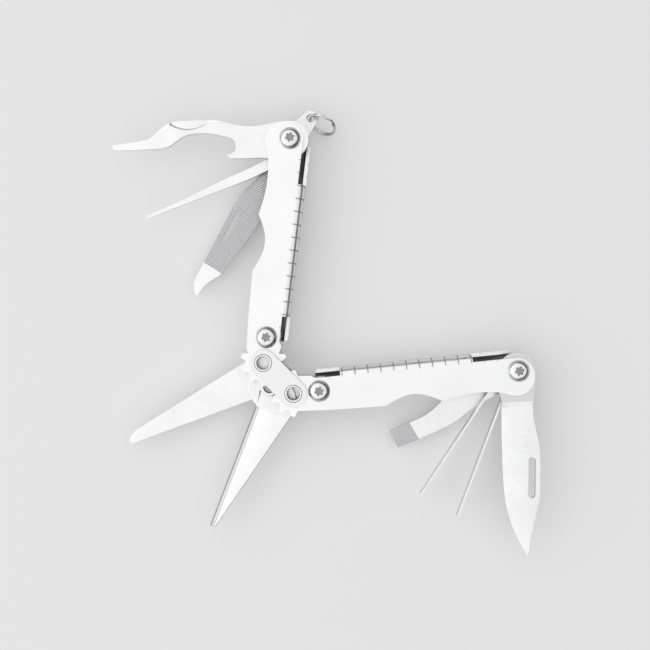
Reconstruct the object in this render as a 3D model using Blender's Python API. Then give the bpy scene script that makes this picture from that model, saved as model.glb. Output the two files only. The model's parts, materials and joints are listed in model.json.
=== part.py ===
"""Key-ring multi tool: two geared channel handles, a pair of scissor blades and six fold-out tools.

The tool lies on its back. +Z is up through its thickness, -Y is the way the scissor blades point, and
the origin is the middle of the rear link plate's outer face, halfway between the two handle pivots.
Each handle has local axes: x from its pivot to its far axle, y to the side that its tools come out of.
"""
import bpy
import bmesh
import math
from mathutils import Matrix, Vector

MM = 0.001

# Scissor linkage: link plate, two geared handles, two blades on a common pivot
PIVOT_SPACING = 10.5 * MM
CRANK = 6.3 * MM
TANG = 12.33 * MM
HANDLE_OPEN = math.radians(38.75)
AXLE_AT = 55.3 * MM

# Stack through the thickness, mirrored about its middle
THICK = 10.9 * MM
LINK_T = 1.2 * MM
CHEEK_LOW = 1.35 * MM
SHEET = 0.9 * MM
TOOL_LOW = 2.4 * MM
TOOL_T = 1.5 * MM
CORE_LOW = 4.05 * MM
GAP = 0.1 * MM

# Handle channel
SPINE_Y = -5.05 * MM
BEND_R = 1.9 * MM
CHEEK_EDGE_Y = -3.2 * MM
WEB_START = 11.8 * MM
WEB_END = 44.4 * MM
NECK_START = 5.6 * MM
REAR_LIP = 3.4 * MM
END_X = 54.5 * MM
END_Y = 1.36 * MM
END_R = 4.69 * MM

# Ruler marks across the spine
RULE_START = 50.4 * MM
RULE_PITCH = 3.175 * MM
RULE_COUNT = 14
RULE_WIDTH = 0.3 * MM
RULE_DEPTH = 0.22 * MM

# Gear sector on each handle
TOOTH_PITCH = math.radians(36)
TOOTH_OFFSET = math.radians(9)
GEAR_ROOT = 4.4 * MM
GEAR_MID = 4.95 * MM
GEAR_TIP = 5.7 * MM

# Pivots and fasteners
POST_R = 1.9 * MM
POST_BORE = 1.45 * MM
RUNNING = 0.15 * MM
HEAD_R = 2.65 * MM
HEAD_H = 1.27 * MM
HEAD_FLAT_R = 1.45 * MM
SHANK_R = 1.3 * MM
SHANK_L = 3.1 * MM
RECESS_R = 1.18 * MM
RECESS_DEPTH = 0.75 * MM
EYELET_BORE = 1.53 * MM
EYELET_R = 2.1 * MM
EYELET_FLANGE_R = 2.9 * MM
LINK_END_R = 3.3 * MM

# Tools
HEAD_FRONT_R = 4.45 * MM
HEAD_REAR_R = 3.75 * MM
OPENER_ANGLE = math.radians(81.1)
PICK_ANGLE = math.radians(55.2)
FILE_ANGLE = math.radians(24.9)
DRIVER_ANGLE = math.radians(24.5)
INNER_ARM_ANGLE = math.radians(46)
OUTER_ARM_ANGLE = math.radians(62.5)
KNIFE_ANGLE = math.radians(87.5)

# Key ring
TAB_ANGLE = math.radians(-33)
TAB_HOLE_AT = 7.64 * MM
TAB_HOLE_R = 0.95 * MM
TAB_END_R = 2.1 * MM
TAB_T = 0.7 * MM
RING_R = 3.4 * MM
RING_WIRE_R = 0.5 * MM
RING_TILT = math.radians(66)
RING_TURN = math.radians(-77)

LEFT = 1
RIGHT = -1


def tang_angle(handle_angle):
    """Angle between a blade's tang and the centre line, for a handle at this angle to it."""
    return math.asin((PIVOT_SPACING / 2 + CRANK * math.sin(handle_angle)) / TANG)


BLADE_OPEN = tang_angle(HANDLE_OPEN) - tang_angle(0)
BLADE_PIVOT_Y = CRANK * math.cos(HANDLE_OPEN) - TANG * math.cos(tang_angle(HANDLE_OPEN))


def mm(*points):
    """Points given in millimetres, as metres."""
    return [(x * MM, y * MM) for x, y in points]


def arc(centre, radius, start, stop, count):
    """Points along an arc, with the angles in degrees."""
    points = []
    for i in range(count + 1):
        angle = math.radians(start + (stop - start) * i / count)
        points.append((centre[0] + radius * math.cos(angle), centre[1] + radius * math.sin(angle)))
    return points


def curve(*points, steps=3):
    """A smooth run through points given in millimetres, as a Catmull-Rom spline in metres."""
    run = [Vector(point) * MM for point in points]
    run = [2 * run[0] - run[1]] + run + [2 * run[-1] - run[-2]]
    smooth = []
    for a, b, c, d in zip(run, run[1:], run[2:], run[3:]):
        for i in range(steps):
            t = i / steps
            middle = (2 * b) + (c - a) * t + (2 * a - 5 * b + 4 * c - d) * t ** 2
            smooth.append(tuple((middle + (3 * b - a - 3 * c + d) * t ** 3) / 2))
    smooth.append(tuple(run[-2]))
    return smooth


def steel(name, colour, roughness):
    """A bare steel with its own colour and polish."""
    material = bpy.data.materials.new(name)
    material.use_nodes = True
    shader = material.node_tree.nodes["Principled BSDF"]
    shader.inputs["Base Color"].default_value = (*colour, 1)
    shader.inputs["Metallic"].default_value = 1
    shader.inputs["Roughness"].default_value = roughness
    material.diffuse_color = (*colour, 1)
    return material


def add_object(name, bm, parent, finish):
    """Turn a bmesh into a named object under its parent."""
    bmesh.ops.remove_doubles(bm, verts=bm.verts, dist=1e-7)
    bmesh.ops.recalc_face_normals(bm, faces=bm.faces)
    mesh = bpy.data.meshes.new(name)
    bm.to_mesh(mesh)
    bm.free()
    mesh.shade_smooth()
    mesh.set_sharp_from_angle(angle=math.radians(35))
    item = bpy.data.objects.new(name, mesh)
    bpy.context.collection.objects.link(item)
    item.parent = parent
    colour, roughness = finish
    mesh.materials.append(steel(name + "_steel", colour, roughness))
    return item


def frame_at(name, parent, place, angle):
    """An empty on a pivot, turned about Z."""
    empty = bpy.data.objects.new(name, None)
    bpy.context.collection.objects.link(empty)
    empty.parent = parent
    empty.location = place
    empty.rotation_euler = (0, 0, angle)
    empty.empty_display_size = 5 * MM
    return empty


def prism(outline, low, high):
    """A bmesh of an outline extruded from one height to another."""
    bm = bmesh.new()
    corners = [bm.verts.new((x, y, low)) for x, y in outline]
    face = bm.faces.new(corners)
    grown = bmesh.ops.extrude_face_region(bm, geom=[face])
    tops = [item for item in grown["geom"] if isinstance(item, bmesh.types.BMVert)]
    bmesh.ops.translate(bm, verts=tops, vec=(0, 0, high - low))
    return bm


def turned(profile, steps):
    """A bmesh of a closed profile of (radius, height) points spun about Z."""
    bm = bmesh.new()
    ring = [bm.verts.new((radius, 0, height)) for radius, height in profile]
    edges = [bm.edges.new((ring[i], ring[(i + 1) % len(ring)])) for i in range(len(ring))]
    bmesh.ops.spin(bm, geom=ring + edges, axis=(0, 0, 1), cent=(0, 0, 0), angle=math.tau, steps=steps,
                   use_merge=True)
    bmesh.ops.remove_doubles(bm, verts=bm.verts, dist=1e-7)
    return bm


def cut(item, name, cutter_bm, operation="DIFFERENCE"):
    """Cut one object with a hidden cutter that shares its frame."""
    cutter = add_object(name, cutter_bm, item.parent, STEEL_DARK)
    cutter.matrix_parent_inverse = item.matrix_parent_inverse.copy()
    cutter.location = item.location
    cutter.hide_render = True
    cutter.display_type = "WIRE"
    modifier = item.modifiers.new(name, "BOOLEAN")
    modifier.operation = operation
    modifier.solver = "EXACT"
    modifier.object = cutter
    return cutter


def bore(item, name, place, radius, steps=28):
    """A round hole right through an object, at a point in its frame."""
    outline = arc(place, radius, 0, 360 - 360 / steps, steps - 1)
    cut(item, name, prism(outline, -5 * MM, 20 * MM))


def tube(name, parent, place, inner, outer, low, high, finish, steps=28):
    """A plain sleeve or washer."""
    bm = turned([(inner, low), (outer, low), (outer, high), (inner, high)], steps)
    bmesh.ops.translate(bm, verts=bm.verts, vec=(*place, 0))
    return add_object(name, bm, parent, finish)


STEEL_BRIGHT = ((0.82, 0.82, 0.83), 0.22)
STEEL_SATIN = ((0.74, 0.74, 0.75), 0.34)
STEEL_DARK = ((0.52, 0.52, 0.54), 0.38)


def gear_outline(first):
    """The toothed end of a handle, from its spine side round to its open side."""
    points = []
    centre = first
    while centre > math.radians(75):
        for turn, radius in ((13.5, GEAR_ROOT), (8.8, GEAR_MID), (5.2, GEAR_TIP - 0.1 * MM), (2.5, GEAR_TIP),
                             (-2.5, GEAR_TIP), (-5.2, GEAR_TIP - 0.1 * MM), (-8.8, GEAR_MID),
                             (-13.5, GEAR_ROOT)):
            angle = centre + math.radians(turn)
            points.append((radius * math.cos(angle), radius * math.sin(angle)))
        centre -= TOOTH_PITCH
    return points


def wave(start, stop, depth, count):
    """A smooth hollow between two points of an edge."""
    points = []
    for i in range(1, count):
        t = i / count
        x = start[0] + (stop[0] - start[0]) * t
        y = start[1] + (stop[1] - start[1]) * t - depth * math.sin(math.pi * t)
        points.append((x, y))
    return points


def handle_outline(side):
    """The outline of a handle's cheeks past the gear, with the spine side left beyond the bend."""
    beyond = SPINE_Y - 1 * MM
    grip_start, grip_stop = mm((22.2, 5.3), (36.0, 5.45))
    waist_stop = (50.3 * MM, 4.8 * MM)
    outline = [(54.0 * MM, beyond), (NECK_START + 0.9 * MM, beyond), (NECK_START, -3.9 * MM)]
    outline += [(NECK_START, 4.7 * MM), (10.1 * MM, 4.95 * MM), grip_start]
    outline += wave(grip_start, grip_stop, 2.3 * MM, 14)
    outline.append(grip_stop)
    outline += wave(grip_stop, waist_stop, 0.8 * MM, 8)
    outline.append(waist_stop)
    outline += arc((END_X, END_Y), END_R, 106, -70, 16)
    return [(x, side * y) for x, y in outline]


def gear_end(side):
    """The flat toothed end of both cheeks, from the gear sector to where the channel starts."""
    mesh_line = math.radians(270) - HANDLE_OPEN
    first = mesh_line - side * TOOTH_OFFSET
    while first + TOOTH_PITCH < math.radians(300):
        first += TOOTH_PITCH
    outline = mm((8.0, CHEEK_EDGE_Y / MM), (5.6, CHEEK_EDGE_Y / MM), (4.6, -3.9))
    outline += gear_outline(first)
    outline += mm((2.9, 4.5), (8.0, 4.85))
    outline = [(x, side * y) for x, y in outline]
    both = prism(outline, CHEEK_LOW, CHEEK_LOW + SHEET)
    front = prism(outline, THICK - CHEEK_LOW - SHEET, THICK - CHEEK_LOW)
    mesh = bpy.data.meshes.new("gear_front")
    front.to_mesh(mesh)
    front.free()
    both.from_mesh(mesh)
    bpy.data.meshes.remove(mesh)
    return both


def channel_section():
    """The U of the folded sheet, as (y, z) points."""
    low, high = CHEEK_LOW, THICK - CHEEK_LOW
    reach = 9 * MM
    inner = BEND_R - SHEET
    outer_low = arc((SPINE_Y + BEND_R, low + BEND_R), BEND_R, 270, 180, 5)
    outer_high = arc((SPINE_Y + BEND_R, high - BEND_R), BEND_R, 180, 90, 5)
    inner_high = arc((SPINE_Y + BEND_R, high - BEND_R), inner, 90, 180, 4)
    inner_low = arc((SPINE_Y + BEND_R, low + BEND_R), inner, 180, 270, 4)
    ends = [(reach, high), (reach, high - SHEET)]
    return [(reach, low)] + outer_low + outer_high + ends + inner_high + inner_low + [(reach, low + SHEET)]


def rule_grooves(side):
    """Shallow ruler marks that wrap round the spine from cheek to cheek."""
    low, high = CHEEK_LOW, THICK - CHEEK_LOW
    bend_y, over = SPINE_Y + BEND_R, 1 * MM
    edge = bend_y + 0.35 * MM
    band = [(edge, low + RULE_DEPTH)]
    band += arc((bend_y, low + BEND_R), BEND_R - RULE_DEPTH, 270, 180, 5)
    band += arc((bend_y, high - BEND_R), BEND_R - RULE_DEPTH, 180, 90, 5)
    band += [(edge, high - RULE_DEPTH), (edge, high + over), (SPINE_Y - over, high + over)]
    band += [(SPINE_Y - over, low - over), (edge, low - over)]
    bm = bmesh.new()
    for i in range(RULE_COUNT):
        x = RULE_START - RULE_PITCH * i - RULE_WIDTH / 2
        face = bm.faces.new([bm.verts.new((x, side * y, z)) for y, z in band])
        grown = bmesh.ops.extrude_face_region(bm, geom=[face])
        ends = [item for item in grown["geom"] if isinstance(item, bmesh.types.BMVert)]
        bmesh.ops.translate(bm, verts=ends, vec=(RULE_WIDTH, 0, 0))
    return bm


def make_handle(name, parent, side):
    """A handle: a U channel with geared cheek ends, open spine slots and a thumb hollow."""
    bm = bmesh.new()
    corners = [bm.verts.new((0, side * y, z)) for y, z in channel_section()]
    face = bm.faces.new(corners)
    grown = bmesh.ops.extrude_face_region(bm, geom=[face])
    ends = [item for item in grown["geom"] if isinstance(item, bmesh.types.BMVert)]
    bmesh.ops.translate(bm, verts=ends, vec=(END_X + 7 * MM, 0, 0))
    handle = add_object(name, bm, parent, STEEL_BRIGHT)
    cut(handle, name + "_profile", prism(handle_outline(side), 0, THICK), "INTERSECT")
    low_y, high_y = sorted((side * (SPINE_Y - 2 * MM), side * CHEEK_EDGE_Y))
    for part, start, stop in (("near", 0, WEB_START), ("far", WEB_END, END_X + 6 * MM)):
        window = [(start, low_y), (stop, low_y), (stop, high_y), (start, high_y)]
        cut(handle, f"{name}_{part}_slot", prism(window, REAR_LIP, THICK + 1 * MM))
    cut(handle, name + "_gear", gear_end(side), "UNION")
    cut(handle, name + "_rule", rule_grooves(side))
    bore(handle, name + "_pivot_hole", (0, 0), EYELET_R + RUNNING)
    bore(handle, name + "_tang_hole", (CRANK, 0), SHANK_R + RUNNING)
    bore(handle, name + "_axle_hole", (AXLE_AT, 0), SHANK_R + RUNNING)
    return handle


def recess_outline():
    """The six-lobed driving recess of a screw."""
    points = []
    for i in range(36):
        angle = math.tau * i / 36
        points.append((RECESS_R * (0.86 + 0.14 * math.cos(6 * angle)) * math.cos(angle),
                       RECESS_R * (0.86 + 0.14 * math.cos(6 * angle)) * math.sin(angle)))
    return points


def make_screw(name, parent, place, front):
    """A button-head screw, with its head on the front or the rear face."""
    seat = THICK - HEAD_H
    crown = arc((0, seat - 1.9 * MM), 3.26 * MM, 36, 64, 4)
    profile = [(0, seat - SHANK_L), (SHANK_R, seat - SHANK_L), (SHANK_R, seat), (HEAD_R, seat)]
    profile += [(min(radius, HEAD_R), min(height, THICK)) for radius, height in crown]
    profile += [(HEAD_FLAT_R, THICK), (0, THICK)]
    bm = bmesh.new()
    ring = [bm.verts.new((radius, 0, height)) for radius, height in profile]
    edges = [bm.edges.new((ring[i], ring[i + 1])) for i in range(len(ring) - 1)]
    bmesh.ops.spin(bm, geom=ring + edges, axis=(0, 0, 1), cent=(0, 0, 0), angle=math.tau, steps=28,
                   use_merge=True)
    recess = prism(recess_outline(), THICK - RECESS_DEPTH, THICK + 1 * MM)
    flip = Matrix.Identity(4)
    if not front:
        flip = Matrix.Translation((0, 0, THICK)) @ Matrix.Rotation(math.pi, 4, "X")
    move = Matrix.Translation((*place, 0)) @ flip
    for shape in (bm, recess):
        bmesh.ops.transform(shape, matrix=move, verts=shape.verts)
    screw = add_object(name, bm, parent, STEEL_SATIN)
    cut(screw, name + "_recess", recess)
    return screw


def make_eyelet(name, parent, place, front):
    """A short hollow rivet that joins a link plate to one cheek."""
    profile = [(EYELET_BORE, THICK - 2.7 * MM), (EYELET_FLANGE_R, THICK - 2.7 * MM),
               (EYELET_FLANGE_R, THICK - 2.4 * MM), (EYELET_R, THICK - 2.4 * MM), (EYELET_R, THICK),
               (EYELET_BORE, THICK)]
    if not front:
        profile = [(radius, THICK - height) for radius, height in profile]
    bm = turned(profile, 28)
    bmesh.ops.translate(bm, verts=bm.verts, vec=(*place, 0))
    return add_object(name, bm, parent, STEEL_BRIGHT)


def make_link_plate(name, low):
    """The oval plate that holds the two handle pivots apart."""
    half = PIVOT_SPACING / 2
    outline = arc((half, 0), LINK_END_R, -90, 90, 16) + arc((-half, 0), LINK_END_R, 90, 270, 16)
    plate = add_object(name, prism(outline, low, low + LINK_T), None, STEEL_BRIGHT)
    bore(plate, name + "_left_hole", (-half, 0), EYELET_R + 0.06 * MM)
    bore(plate, name + "_right_hole", (half, 0), EYELET_R + 0.06 * MM)
    return plate


def make_blade(name, parent, side, low, tip, pivot_r):
    """A scissor blade with its pivot disc and tang. Its frame has x to the tip and y to the back."""
    tang = tang_angle(0)
    hole = (-TANG * math.cos(tang), -TANG * math.sin(tang))
    tang_turn = math.degrees(tang)
    outline = mm((5.3, -1.35), (20.0, -0.95))
    outline += mm(*tip)
    outline += curve((3.4, 8.0), (2.6, 8.1), (1.4, 7.8), (-1.0, 6.5), (-2.9, 4.0), (-4.6, 0.9))
    outline += arc(hole, 2.7 * MM, 90 + tang_turn, 270 + tang_turn, 10)
    outline += arc((0, 0), 5.45 * MM, -120, -18, 12)
    outline = [(x, side * y) for x, y in outline]
    blade = add_object(name, prism(outline, low, low + 1.3 * MM), parent, STEEL_BRIGHT)
    bore(blade, name + "_pivot_hole", (0, 0), pivot_r)
    bore(blade, name + "_tang_hole", (hole[0], side * hole[1]), POST_R + RUNNING)
    return blade


def make_tool(name, parent, side, outline, low, thickness, finish):
    """A flat tool with its axle hole. Its frame has x to the tip."""
    outline = [(x, -side * y) for x, y in outline]
    tool = add_object(name, prism(outline, low, low + thickness), parent, finish)
    bore(tool, name + "_axle_hole", (0, 0), POST_R + RUNNING)
    return tool


def slot(tool, name, side, start, stop, radius):
    """A round-ended slot through a tool, between two centres in millimetres."""
    (ax, ay), (bx, by) = mm(start, stop)
    lean = math.degrees(math.atan2(by - ay, bx - ax))
    outline = arc((bx, by), radius, lean - 90, lean + 90, 8)
    outline += arc((ax, ay), radius, lean + 90, lean + 270, 8)
    cut(tool, name, prism([(x, -side * y) for x, y in outline], 0, THICK))


def opener_outline():
    """Cap lifter and can hook, with a small screwdriver tip."""
    outline = arc((0, 0), HEAD_FRONT_R, 95, 255, 16)
    outline += mm((5.2, -4.35), (11.4, -4.3), (14.8, -4.25), (15.1, -3.9), (15.8, -3.2))
    outline += curve((15.2, -3.2), (14.5, -3.05), (13.7, -2.4), (13.4, -1.2), (13.7, -0.1), (14.6, 0.75),
                     (17.4, 1.6), (20.4, 2.15), (23.2, 2.2), (24.9, 2.0), (26.6, 1.4), (28.2, 0.3),
                     (29.9, -0.7), (31.9, -1.15), (34.5, -1.25))
    outline += mm((38.7, -1.25), (42.9, -1.15), (43.8, -0.6), (43.75, 0.1))
    outline += curve((37.5, 0.75), (35.3, 1.1), (34.0, 1.75), (32.0, 3.35), (30.3, 4.6), (28.9, 5.2),
                     (27.0, 5.42), (24.5, 5.45), (22.0, 5.42), (19.5, 5.4), (17.6, 5.15), (15.2, 4.45),
                     (12.6, 3.8), (10.4, 3.52), (8.2, 3.5), (6.3, 3.75), (3.8, 4.25), (1.9, 4.5))
    return outline


def pick_outline():
    """A slim tapered pick."""
    outline = arc((0, 0), 3.6 * MM, 110, 240, 14)
    outline += curve((3.4, -4.0), (7.8, -3.9), (16.0, -3.35), (30.3, -1.6), (39.8, -0.4))
    outline += curve((40.25, -0.25), (40.5, 0.0), (40.25, 0.3))
    outline += curve((39.8, 0.33), (29.6, -0.35), (19.2, -0.75), (8.8, -1.3), (5.6, -0.2), (3.0, 2.6))
    return outline


def file_outline():
    """A nail file with a hooked cleaner tip."""
    outline = arc((0, 0), HEAD_REAR_R, 100, 260, 14)
    outline += mm((6.0, -3.75), (21.1, -3.85))
    outline += curve((23.4, -3.65), (27.1, -3.4), (32.0, -2.9), (36.1, -2.5), (37.6, -2.3), (39.0, -1.6),
                     (40.3, -0.95), (41.6, -0.5), (43.2, -0.25), (44.8, -0.3))
    outline += curve((45.0, 0.35), (44.5, 0.9), (43.8, 1.5), (42.9, 2.05), (41.4, 2.5), (39.8, 2.65),
                     (36.5, 2.8), (31.3, 3.15), (26.0, 3.5), (21.8, 3.8))
    outline += curve((18.7, 3.9), (16.0, 3.4), (13.2, 2.7), (10.2, 2.2), (7.2, 2.1), (3.5, 2.6))
    return outline


def driver_outline():
    """A flat screwdriver."""
    outline = arc((0, 0), HEAD_REAR_R, 100, 260, 14)
    outline += curve((9.0, -3.65), (13.0, -3.6), (16.5, -3.35), (19.4, -2.6), (21.7, -1.9), (24.2, -1.5),
                     (26.6, -1.5), (29.1, -1.8))
    outline += mm((34.6, -2.5), (34.95, 2.15), (29.6, 2.9))
    outline += curve((24.5, 3.5), (19.6, 3.75), (16.4, 3.4), (12.4, 3.0), (7.4, 3.15), (3.5, 3.6))
    return outline


def knife_outline():
    """A drop-point knife blade with its cutting edge to the spine of the handle."""
    outline = arc((0, 0), HEAD_FRONT_R, 62, 250, 16)
    outline += mm((3.4, -4.7), (5.6, -4.7), (7.4, -4.35))
    outline += curve((8.2, -4.35), (13.0, -4.6), (19.3, -4.85), (25.6, -4.95), (30.3, -4.85), (34.1, -4.4),
                     (38.0, -3.45), (41.6, -2.1), (44.0, -0.95), (45.6, -0.1))
    outline += mm((45.5, 0.1))
    outline += curve((44.8, 0.35), (41.7, 0.85), (38.6, 1.65), (35.8, 2.5), (33.4, 3.25), (31.0, 3.7),
                     (27.5, 4.1), (23.5, 4.3), (19.5, 4.38), (17.0, 4.1), (14.8, 3.7), (11.9, 3.3),
                     (9.6, 3.25), (7.6, 3.5), (4.9, 4.0), (3.2, 4.2))
    return outline


def make_arm(name, parent, side, low, start, stop):
    """One arm of the tweezers: an eye on the axle and a strip that stands on its edge."""
    half = 0.23 * MM
    full_low, full_high = CORE_LOW, THICK - CORE_LOW
    eye = add_object(name, prism([(x, -side * y) for x, y in arc((0, 0), 3.6 * MM, 0, 345, 23)], low,
                                 low + 1.35 * MM), parent, STEEL_BRIGHT)
    (ax, ay), (bx, by) = mm(start, stop)
    lean = math.atan2(by - ay, bx - ax)
    dx, dy = -half * math.sin(lean), half * math.cos(lean)
    root_x = 4.1 * MM
    root_y = ay + (root_x - ax) * math.tan(lean)
    neck_x = 2.0 * MM
    neck_y = ay + (neck_x - ax) * math.tan(lean)
    neck = [(neck_x, neck_y - 2 * half), (5.2 * MM, root_y - half), (5.2 * MM, root_y + half),
            (neck_x, neck_y + 2 * half)]
    strip = [(root_x + dx, root_y + dy), (bx + dx, by + dy), (bx - dx, by - dy), (root_x - dx, root_y - dy)]
    cut(eye, name + "_neck", prism([(x, -side * y) for x, y in neck], low, low + 1.35 * MM), "UNION")
    cut(eye, name + "_strip", prism([(x, -side * y) for x, y in strip], full_low, full_high), "UNION")
    bore(eye, name + "_axle_hole", (0, 0), POST_R + RUNNING)
    return eye


def make_blade_eyelet(parent):
    """The hollow rivet that the two blades turn on."""
    low, high = CORE_LOW - 0.02 * MM, THICK - CORE_LOW + 0.02 * MM
    barrel, flange = 1.85 * MM, 0.22 * MM
    profile = [(1.45 * MM, low - flange), (3.0 * MM, low - flange), (3.0 * MM, low), (barrel, low),
               (barrel, high), (2.35 * MM, high), (2.35 * MM, high + flange), (1.45 * MM, high + flange)]
    return add_object("blade_pivot_eyelet", turned(profile, 28), parent, STEEL_BRIGHT)


def make_ring_tab(parent, side):
    """The flat lug on the axle that carries the key ring."""
    hole = (TAB_HOLE_AT, 0)
    outline = arc((0, 0), 3.6 * MM, 50, 310, 18) + arc(hole, TAB_END_R, -70, 70, 10)
    tab = add_object("key_ring_lug", prism([(x, side * y) for x, y in outline], CORE_LOW,
                                           CORE_LOW + TAB_T), parent, STEEL_SATIN)
    bore(tab, "key_ring_lug_hole", hole, TAB_HOLE_R)
    bore(tab, "key_ring_lug_axle_hole", (0, 0), POST_R + RUNNING)
    return tab


def make_ring(parent):
    """The key ring, leaning over and passing through the lug's hole."""
    bm = bmesh.new()
    profile = arc((RING_R, 0), RING_WIRE_R, 0, 315, 7)
    loop = [bm.verts.new((x, 0, z)) for x, z in profile]
    edges = [bm.edges.new((loop[i], loop[(i + 1) % len(loop)])) for i in range(len(loop))]
    bmesh.ops.spin(bm, geom=loop + edges, axis=(0, 0, 1), cent=(0, 0, 0), angle=math.tau, steps=28,
                   use_merge=True)
    lean = Matrix.Rotation(RING_TILT, 4, "X")
    place = Matrix.Translation((RING_R, 0, CORE_LOW + TAB_T / 2))
    bmesh.ops.transform(bm, matrix=place @ lean, verts=bm.verts)
    return add_object("key_ring", bm, parent, STEEL_BRIGHT)


def make_fasteners(prefix, parent, tang_layer_low):
    """The posts, screws and spacers that belong to one handle."""
    inside_low, inside_high = CHEEK_LOW + SHEET + GAP, THICK - CHEEK_LOW - SHEET - GAP
    for post, place in (("tang", (CRANK, 0)), ("axle", (AXLE_AT, 0))):
        tube(f"{prefix}_{post}_post", parent, place, POST_BORE, POST_R, inside_low, inside_high, STEEL_SATIN)
        make_screw(f"{prefix}_{post}_screw_front", parent, place, True)
        make_screw(f"{prefix}_{post}_screw_rear", parent, place, False)
    spacer = (POST_R + GAP, 2.65 * MM)
    tube(f"{prefix}_tang_spacer_rear", parent, (CRANK, 0), *spacer, inside_low, tang_layer_low - GAP,
         STEEL_SATIN)
    tube(f"{prefix}_tang_spacer_front", parent, (CRANK, 0), *spacer, tang_layer_low + 1.3 * MM + GAP,
         inside_high, STEEL_SATIN)


def build():
    """Make the whole tool in its half-open pose."""
    for item in list(bpy.data.objects):
        bpy.data.objects.remove(item, do_unlink=True)

    make_link_plate("rear_link_plate", 0)
    make_link_plate("front_link_plate", THICK - LINK_T)
    half = PIVOT_SPACING / 2
    for prefix, x in (("left", -half), ("right", half)):
        make_eyelet(f"{prefix}_pivot_eyelet_front", None, (x, 0), True)
        make_eyelet(f"{prefix}_pivot_eyelet_rear", None, (x, 0), False)

    rear_blade_low = CORE_LOW + 0.05 * MM
    front_blade_low = THICK - CORE_LOW - 0.05 * MM - 1.3 * MM
    frames = {}
    for prefix, side, layer in (("left", LEFT, front_blade_low), ("right", RIGHT, rear_blade_low)):
        turn = math.pi / 2 + side * HANDLE_OPEN
        pivot = frame_at(prefix + "_pivot", None, (-side * half, 0, 0), turn)
        make_handle(prefix + "_handle", pivot, side)
        make_fasteners(prefix, pivot, layer)
        frames[prefix] = pivot

    def tool_frame(name, prefix, side, angle):
        return frame_at(name, frames[prefix], (AXLE_AT, 0, 0), side * (math.pi - angle))

    sharp = ((37.4, -0.5), (37.1, 0.9), (18.3, 4.95))
    blunt = ((37.5, -0.6), (37.3, 0.3), (36.3, 1.5), (34.7, 2.2))
    front = frame_at("front_blade_pivot", None, (0, BLADE_PIVOT_Y, 0), -math.pi / 2 + BLADE_OPEN)
    make_blade("front_scissor_blade", front, 1, front_blade_low, sharp, 1.95 * MM)
    make_blade_eyelet(front)
    rear = frame_at("rear_blade_pivot", None, (0, BLADE_PIVOT_Y, 0), -math.pi / 2 - BLADE_OPEN)
    make_blade("rear_scissor_blade", rear, -1, rear_blade_low, blunt, 2.45 * MM)

    front_layer = THICK - TOOL_LOW - TOOL_T
    opener = tool_frame("opener_axis", "left", LEFT, OPENER_ANGLE)
    make_tool("bottle_opener", opener, LEFT, opener_outline(), front_layer, TOOL_T, STEEL_BRIGHT)
    pick = tool_frame("pick_axis", "left", LEFT, PICK_ANGLE)
    make_tool("pick", pick, LEFT, pick_outline(), 4.9 * MM, 1.3 * MM, STEEL_BRIGHT)
    nail_file = tool_frame("file_axis", "left", LEFT, FILE_ANGLE)
    file_tool = make_tool("nail_file", nail_file, LEFT, file_outline(), TOOL_LOW, TOOL_T, STEEL_DARK)
    slot(file_tool, "nail_file_slot", LEFT, (21.6, 1.7), (30.0, 1.15), 0.75 * MM)
    tube("pick_washer", frames["left"], (AXLE_AT, 0), POST_R + GAP, 3.4 * MM, 6.3 * MM, THICK - CORE_LOW,
         STEEL_SATIN)

    driver = tool_frame("driver_axis", "right", RIGHT, DRIVER_ANGLE)
    make_tool("flat_screwdriver", driver, RIGHT, driver_outline(), TOOL_LOW, TOOL_T, STEEL_BRIGHT)
    inner = tool_frame("inner_arm_axis", "right", RIGHT, INNER_ARM_ANGLE)
    make_arm("tweezer_inner_arm", inner, RIGHT, CORE_LOW, (8.4, -2.0), (38.6, 0.5))
    outer = tool_frame("outer_arm_axis", "right", RIGHT, OUTER_ARM_ANGLE)
    make_arm("tweezer_outer_arm", outer, RIGHT, CORE_LOW + 1.45 * MM, (9.8, -0.55), (38.8, -0.05))
    knife = tool_frame("knife_axis", "right", RIGHT, KNIFE_ANGLE)
    blade = make_tool("knife_blade", knife, RIGHT, knife_outline(), front_layer, TOOL_T, STEEL_BRIGHT)
    slot(blade, "knife_thumb_slot", RIGHT, (22.3, 2.3), (30.6, 1.75), 0.86 * MM)

    lug = frame_at("lug_axis", frames["left"], (AXLE_AT, 0, 0), TAB_ANGLE)
    make_ring_tab(lug, LEFT)
    ring = frame_at("ring_axis", lug, (TAB_HOLE_AT, 0, 0), RING_TURN)
    make_ring(ring)


build()
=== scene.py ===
"""Finishes a key-ring multi tool: soft sheet edges, ground blades, cut file, screws and split ring."""
import json
import math

import bmesh
import bpy
from bpy.props import FloatProperty, FloatVectorProperty, IntProperty, PointerProperty
from mathutils import Matrix, Vector


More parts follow.
